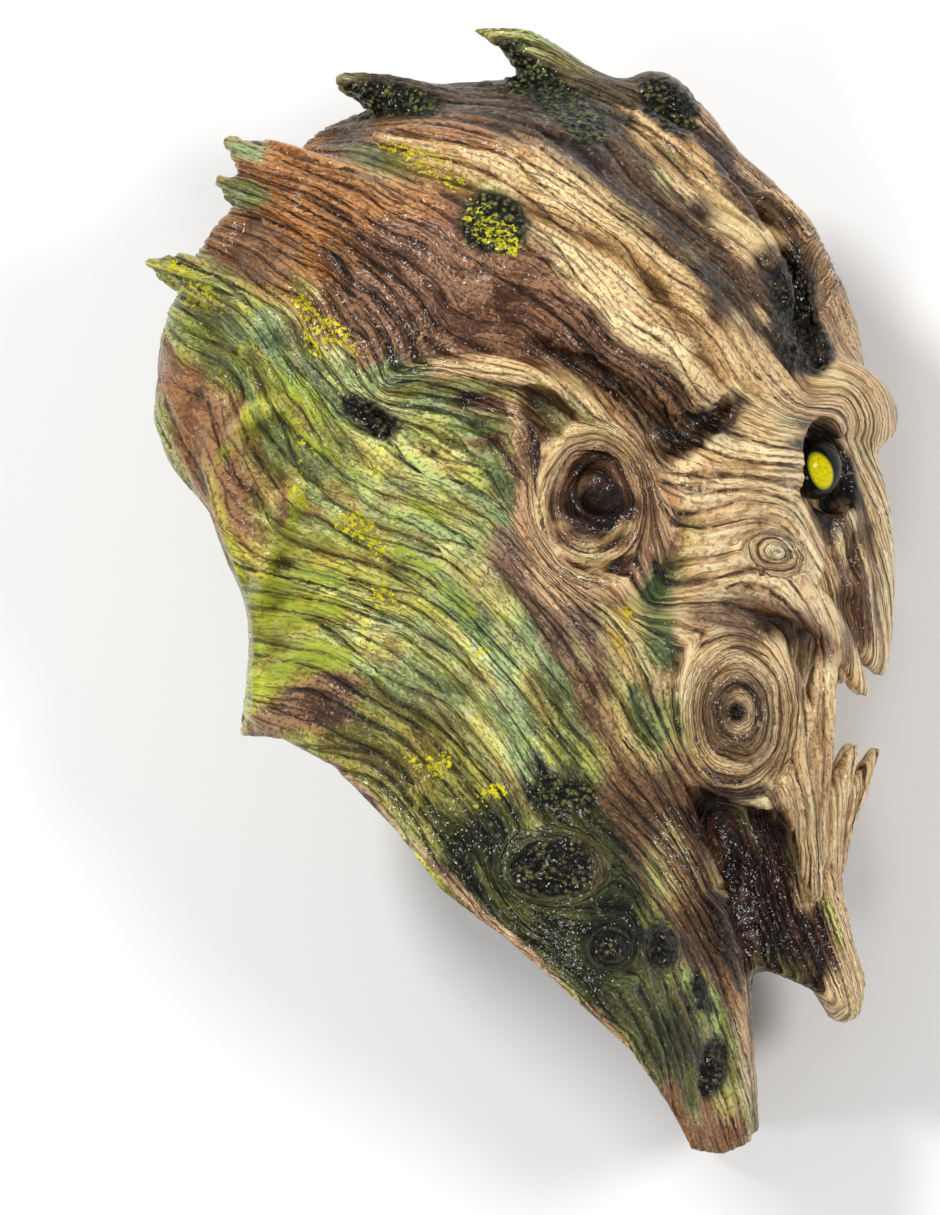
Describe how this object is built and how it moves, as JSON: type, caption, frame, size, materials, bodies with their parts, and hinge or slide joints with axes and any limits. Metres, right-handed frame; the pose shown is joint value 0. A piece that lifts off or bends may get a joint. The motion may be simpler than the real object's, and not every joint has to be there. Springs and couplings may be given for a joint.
{
  "type": "full-head costume mask",
  "caption": "Hollow full-head latex costume mask: a bark-skinned wood spirit with knot ears, spikes, a beak nose, tusks and a long bib. It lies on its left side.",
  "frame": {"origin": "centre of the bounding box's base, on the surface that the mask lies on", "axes": "+Y up the head, from the bib's tip to the crest; +X forward, towards the nose; +Z the right cheek, which faces up as it lies"},
  "size_m": [0.2996, 0.4494, 0.2292],
  "materials": {
    "painted_latex": "painted latex in bark brown, bone tan and moss green under gloss varnish",
    "eye_resin": "clear-coated black ball with a yellow iris"
  },
  "bodies": {
    "root": {"mask_shell": "painted_latex", "eye_right": "eye_resin", "eye_left": "eye_resin"}
  },
  "joints": []
}
